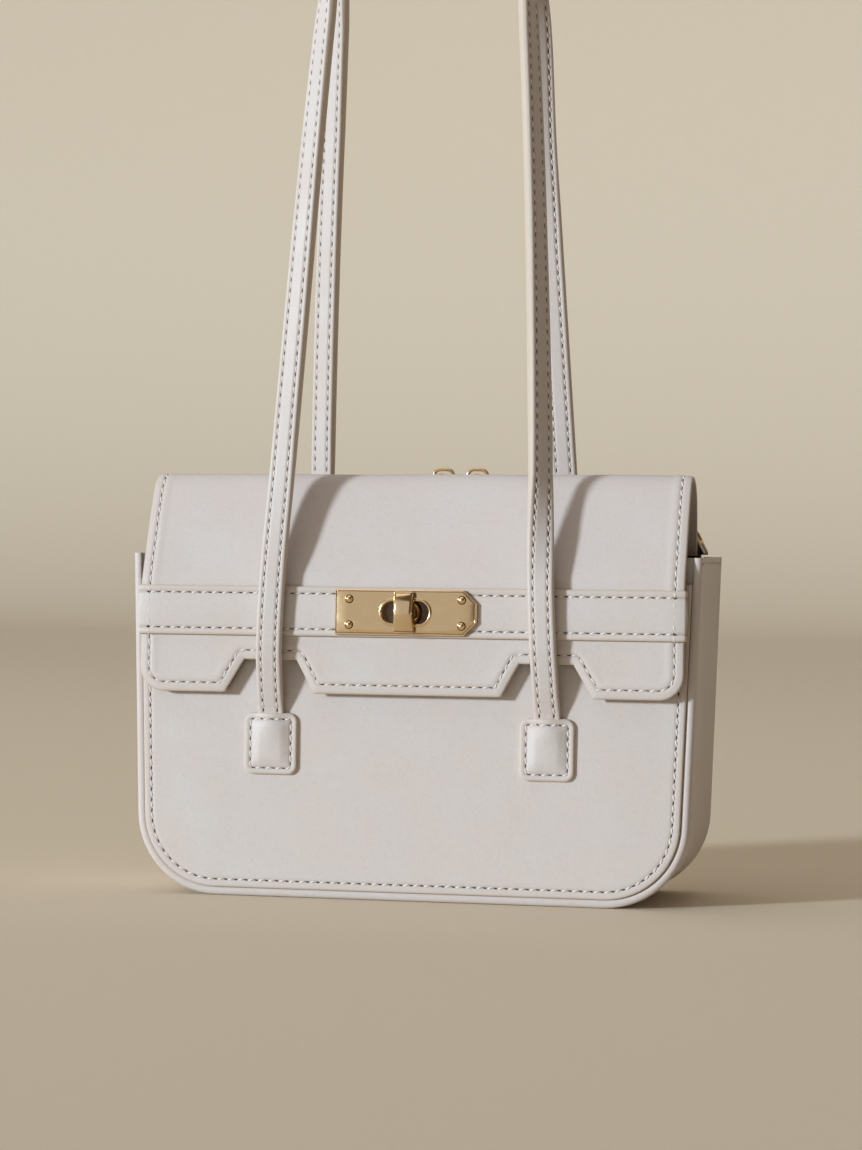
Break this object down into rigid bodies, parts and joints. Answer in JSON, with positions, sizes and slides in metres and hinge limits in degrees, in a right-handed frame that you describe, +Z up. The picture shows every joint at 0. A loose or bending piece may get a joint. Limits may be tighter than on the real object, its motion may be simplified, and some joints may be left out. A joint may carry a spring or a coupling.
{
  "type": "shoulder bag",
  "caption": "Small structured shoulder bag with a notched front flap, metal turn lock, top zip and long flat strap handles.",
  "frame": {"origin": "centre of the base on the surface that the bag stands on, below the middle of the gusset", "axes": "+X along the width to the right as seen from the front, +Y to the back, the flap faces -Y, +Z up"},
  "size_m": [0.223, 0.082, 0.4066],
  "materials": {
    "leather": "smooth, lightly grained, pale warm grey",
    "lining": "dark woven lining",
    "zip_tape": "woven tape",
    "base_board": "pressed board, hidden under the lining",
    "gold_metal": "polished light gold plating"
  },
  "bodies": {
    "bag_body": {"gusset": "leather", "front_panel": "leather", "back_panel": "leather", "zip_panel_rear": "leather", "flap_root": "leather", "front_tab_left": "leather", "front_tab_right": "leather", "rear_tab_left": "leather", "rear_tab_right": "leather", "front_lining": "lining", "back_lining": "lining", "gusset_lining": "lining", "divider": "lining", "zip_tape_front": "zip_tape", "zip_tape_rear": "zip_tape", "base_board": "base_board", "zip_teeth_left": "gold_metal", "zip_teeth_right": "gold_metal", "zip_end_stop_left": "gold_metal", "zip_end_stop_right": "gold_metal", "lock_base": "gold_metal", "lock_washer": "gold_metal"},
    "flap": {"flap_leather": "leather", "flap_lining": "lining", "flap_band": "leather", "lock_plate": "gold_metal", "lock_back_plate": "gold_metal", "lock_ferrule": "gold_metal", "lock_rivet_1": "gold_metal", "lock_rivet_2": "gold_metal", "lock_rivet_3": "gold_metal", "lock_rivet_4": "gold_metal"},
    "toggle": {"toggle_head": "gold_metal", "toggle_post": "gold_metal"},
    "front_handle": {"front_handle_strap": "leather"},
    "rear_handle": {"rear_handle_strap": "leather"},
    "zip_slider_left": {"zip_slider_left": "gold_metal"},
    "zip_slider_right": {"zip_slider_right": "gold_metal"},
    "zip_pull_left": {"zip_pull_left": "gold_metal"},
    "zip_pull_right": {"zip_pull_right": "gold_metal"}
  },
  "joints": [
    {"name": "flap_hinge", "type": "hinge", "parent": "bag_body", "child": "flap", "pos_m": [0, -0.012, 0.1632], "axis": [-1, 0, 0], "range_deg": [0, 165], "deforming": ["flap_leather", "flap_lining", "flap_band"]},
    {"name": "toggle_turn", "type": "hinge", "parent": "bag_body", "child": "toggle", "pos_m": [0, -0.0291, 0.11001], "axis": [0, -0.9992, 0.04], "range_deg": [0, 90]},
    {"name": "front_handle_hinge", "type": "hinge", "parent": "bag_body", "child": "front_handle", "pos_m": [0, -0.03286, 0.07343], "axis": [1, 0, 0], "range_deg": [0, 100]},
    {"name": "rear_handle_hinge", "type": "hinge", "parent": "bag_body", "child": "rear_handle", "pos_m": [0, 0.0358, 0.0734], "axis": [-1, 0, 0], "range_deg": [0, 100]},
    {"name": "zip_slide_left", "type": "slide", "parent": "bag_body", "child": "zip_slider_left", "axis": [-1, 0, 0], "range_m": [0, 0.085], "deforming": ["zip_teeth_left"]},
    {"name": "zip_slide_right", "type": "slide", "parent": "bag_body", "child": "zip_slider_right", "axis": [1, 0, 0], "range_m": [0, 0.06], "deforming": ["zip_teeth_right"]},
    {"name": "zip_pull_hinge_left", "type": "hinge", "parent": "zip_slider_left", "child": "zip_pull_left", "pos_m": [0.0047, 0.007, 0.1633], "axis": [0, 1, 0], "range_deg": [0, 105]},
    {"name": "zip_pull_hinge_right", "type": "hinge", "parent": "zip_slider_right", "child": "zip_pull_right", "pos_m": [0.0183, 0.007, 0.1633], "axis": [0, -1, 0], "range_deg": [0, 105]}
  ]
}
